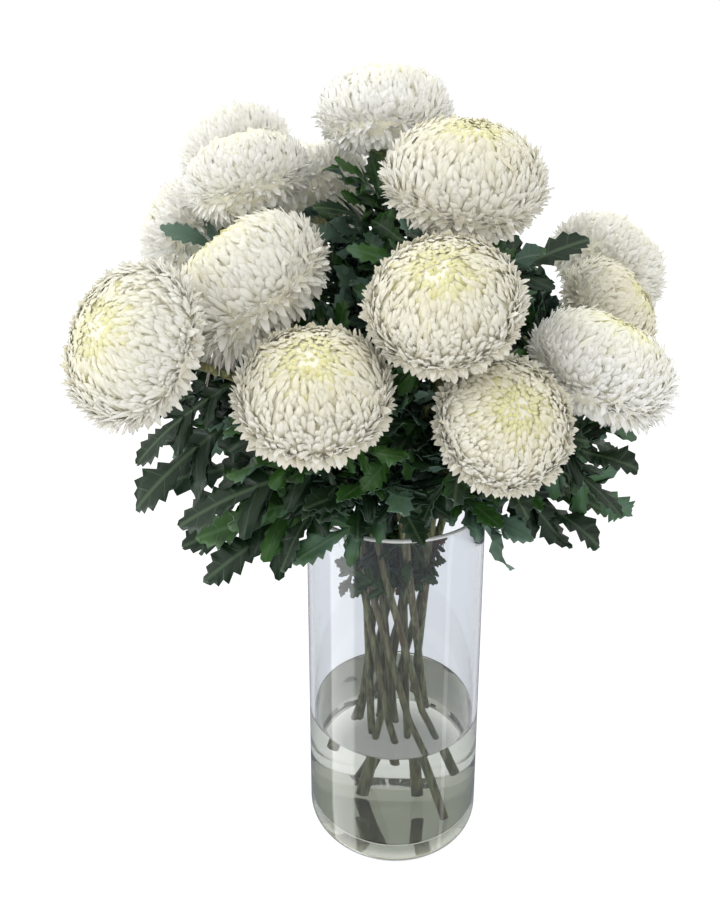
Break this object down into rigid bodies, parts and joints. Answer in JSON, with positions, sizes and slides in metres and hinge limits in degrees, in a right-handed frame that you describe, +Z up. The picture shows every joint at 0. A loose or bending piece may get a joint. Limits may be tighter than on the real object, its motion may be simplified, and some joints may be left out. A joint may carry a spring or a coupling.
{
  "type": "flower arrangement in a vase",
  "caption": "Bouquet of large white ball chrysanthemums with lobed green leaves, its stems standing in water in a tall clear glass cylinder vase.",
  "frame": {"origin": "centre of the vase's flat underside, on the surface it stands on", "axes": "+Z up along the vase's axis; -Y towards the viewer of the picture, +X to that viewer's right"},
  "size_m": [0.4643, 0.39, 0.6554],
  "materials": {
    "clear_glass": "clear, polished",
    "water": "clear still water",
    "white_petals": "soft matte white florets",
    "young_petals": "soft matte pale yellow-green florets",
    "stem_and_leaf": "satin dark green"
  },
  "bodies": {
    "root": {"vase": "clear_glass", "water": "water", "bloom_01": "white_petals", "bloom_02": "white_petals", "bloom_03": "white_petals", "bloom_04": "white_petals", "bloom_05": "white_petals", "bloom_06": "white_petals", "bloom_07": "white_petals", "bloom_08": "white_petals", "bloom_09": "white_petals", "bloom_10": "white_petals", "bloom_11": "white_petals", "bloom_12": "white_petals", "bloom_13": "white_petals", "bloom_14": "white_petals", "heart_01": "young_petals", "heart_02": "young_petals", "heart_03": "young_petals", "heart_04": "young_petals", "heart_05": "young_petals", "heart_06": "young_petals", "heart_07": "young_petals", "heart_08": "young_petals", "heart_09": "young_petals", "heart_10": "young_petals", "heart_11": "young_petals", "heart_12": "young_petals", "heart_13": "young_petals", "heart_14": "young_petals", "stem_01": "stem_and_leaf", "stem_02": "stem_and_leaf", "stem_03": "stem_and_leaf", "stem_04": "stem_and_leaf", "stem_05": "stem_and_leaf", "stem_06": "stem_and_leaf", "stem_07": "stem_and_leaf", "stem_08": "stem_and_leaf", "stem_09": "stem_and_leaf", "stem_10": "stem_and_leaf", "stem_11": "stem_and_leaf", "stem_12": "stem_and_leaf", "stem_13": "stem_and_leaf", "stem_14": "stem_and_leaf"}
  },
  "joints": []
}
